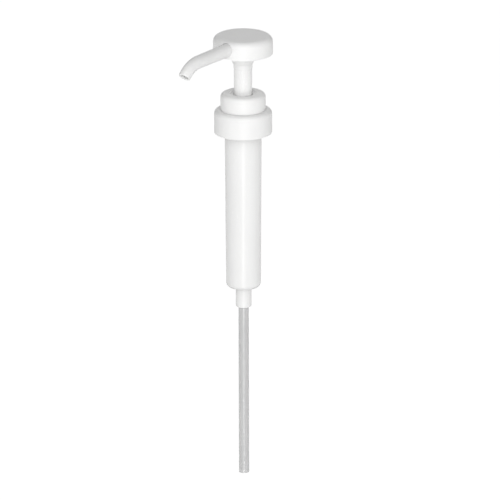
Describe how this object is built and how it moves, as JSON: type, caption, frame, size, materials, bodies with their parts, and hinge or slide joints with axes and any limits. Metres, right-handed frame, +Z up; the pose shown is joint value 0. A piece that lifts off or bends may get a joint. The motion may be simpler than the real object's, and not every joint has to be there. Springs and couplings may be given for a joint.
{
  "type": "condiment pump dispenser",
  "caption": "Lift pump for a wide-neck jug: press head with curved side spout, screw closure, piston cylinder and dip tube.",
  "frame": {"origin": "on the stem's axis, in the plane of the gasket's underside, where the jug's rim seats", "axes": "+Z up along the stem, -Y along the spout"},
  "size_m": [0.0443, 0.0998, 0.3429],
  "materials": {
    "head_plastic": "moulded white polypropylene, satin-gloss",
    "stem_plastic": "moulded white polypropylene, polished rod",
    "collar_plastic": "moulded white polypropylene, satin-gloss",
    "closure_plastic": "moulded white polypropylene, satin-gloss",
    "housing_plastic": "moulded natural-white polypropylene, satin",
    "tube_plastic": "extruded translucent polyethylene",
    "piston_plastic": "soft low-density polyethylene",
    "valve_plastic": "moulded acetal, satin",
    "seal_rubber": "food-grade white silicone",
    "gasket_foam": "closed-cell polyethylene foam",
    "spring_steel": "drawn stainless spring wire",
    "ball_steel": "polished stainless ball"
  },
  "bodies": {
    "housing": {"pump_cylinder": "housing_plastic", "bottle_gasket": "gasket_foam", "collar": "collar_plastic", "stem_guide": "valve_plastic", "guide_o_ring": "seal_rubber", "stem_wiper": "seal_rubber", "return_spring": "spring_steel", "inlet_ball_cage": "valve_plastic", "dip_tube": "tube_plastic"},
    "closure": {"closure_cap": "closure_plastic"},
    "piston": {"piston_seal": "piston_plastic", "thrust_washer": "valve_plastic"},
    "head": {"head_cap": "head_plastic", "spout_body": "head_plastic", "stem_o_ring": "seal_rubber", "pump_stem": "stem_plastic", "outlet_ball_stop": "valve_plastic", "outlet_valve_seat": "valve_plastic"},
    "outlet_check": {"outlet_ball": "ball_steel"},
    "inlet_check": {"inlet_ball": "ball_steel"}
  },
  "joints": [
    {"name": "closure_spin", "type": "hinge", "parent": "housing", "child": "closure", "pos_m": [0, 0, 0], "axis": [0, 0, 1], "continuous": true},
    {"name": "pump_stroke", "type": "slide", "parent": "housing", "child": "piston", "axis": [0, 0, -1], "range_m": [0, 0.019], "stiffness_N_per_m": 520, "springref_m": -0.022, "deforming": ["return_spring"]},
    {"name": "nozzle_swivel", "type": "hinge", "parent": "piston", "child": "head", "pos_m": [0, 0, 0], "axis": [0, 0, 1], "continuous": true},
    {"name": "outlet_ball_lift", "type": "slide", "parent": "head", "child": "outlet_check", "axis": [0, 0, 1], "range_m": [0, 0.002]},
    {"name": "inlet_ball_lift", "type": "slide", "parent": "housing", "child": "inlet_check", "axis": [0, 0, 1], "range_m": [0, 0.0025]}
  ]
}
